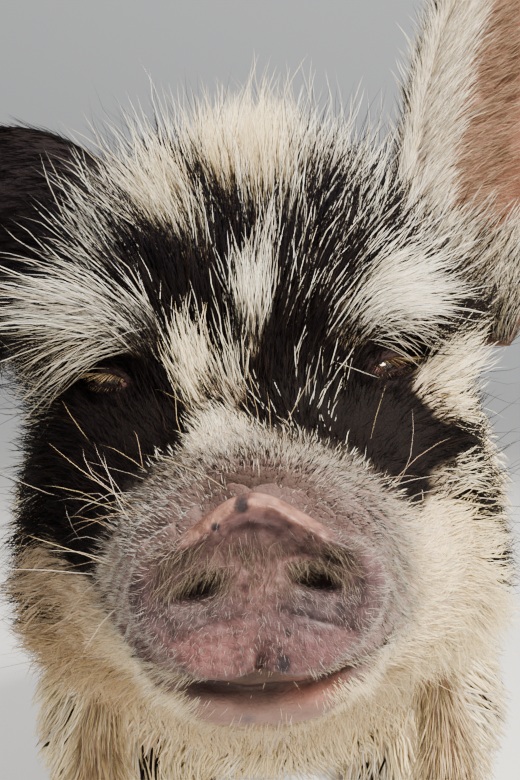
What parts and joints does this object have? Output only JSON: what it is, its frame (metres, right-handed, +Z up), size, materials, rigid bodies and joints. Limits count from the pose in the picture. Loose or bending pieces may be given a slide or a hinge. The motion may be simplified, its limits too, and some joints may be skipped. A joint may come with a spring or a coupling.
{
  "type": "kunekune pig",
  "caption": "Young kunekune pig standing still, life-size: short dished snout, one ear up and one flopped, round barrel, short legs, wattles and a black and cream coat.",
  "frame": {"origin": "on the ground under the middle of the animal's box", "axes": "+Z up, the snout points to -Y, +X is the animal's left side"},
  "size_m": [0.2334, 0.6026, 0.421],
  "materials": {
    "snout_skin": "bare, moist, finely pored skin, pink mottled with grey, with a few dark spots",
    "coat_face": "skin under a coarse fan of hair, black with cream and grey-white patches",
    "coat_body": "skin under medium-long coarse hair, cream with large black patches",
    "coat_leg": "skin under short close hair, black above, cream below",
    "ear_skin": "thin skin, pink and nearly bare inside, with fine short hair on the back",
    "wattle_skin": "soft pink skin with sparse pale hair",
    "eyeball": "wet, glossy, dark brown iris with a black pupil",
    "hoof_horn": "ridged grey-brown horn, slightly worn at the edge"
  },
  "bodies": {
    "root": {"snout_disc": "snout_skin", "snout": "coat_face", "lower_jaw": "coat_face", "head": "coat_face", "neck": "coat_body", "chest": "coat_body", "belly": "coat_body", "hindquarters": "coat_body", "ear_left": "ear_skin", "ear_right": "ear_skin", "wattle_left": "wattle_skin", "wattle_right": "wattle_skin", "tail": "coat_body", "eye_left": "eyeball", "eye_right": "eyeball", "foreleg_left_upper": "coat_leg", "foreleg_left_lower": "coat_leg", "hoof_fore_left_inner": "hoof_horn", "dewclaw_fore_left_inner": "hoof_horn", "hoof_fore_left_outer": "hoof_horn", "dewclaw_fore_left_outer": "hoof_horn", "foreleg_right_upper": "coat_leg", "foreleg_right_lower": "coat_leg", "hoof_fore_right_inner": "hoof_horn", "dewclaw_fore_right_inner": "hoof_horn", "hoof_fore_right_outer": "hoof_horn", "dewclaw_fore_right_outer": "hoof_horn", "hindleg_left_upper": "coat_leg", "hindleg_left_lower": "coat_leg", "hoof_hind_left_inner": "hoof_horn", "dewclaw_hind_left_inner": "hoof_horn", "hoof_hind_left_outer": "hoof_horn", "dewclaw_hind_left_outer": "hoof_horn", "hindleg_right_upper": "coat_leg", "hindleg_right_lower": "coat_leg", "hoof_hind_right_inner": "hoof_horn", "dewclaw_hind_right_inner": "hoof_horn", "hoof_hind_right_outer": "hoof_horn", "dewclaw_hind_right_outer": "hoof_horn"}
  },
  "joints": []
}
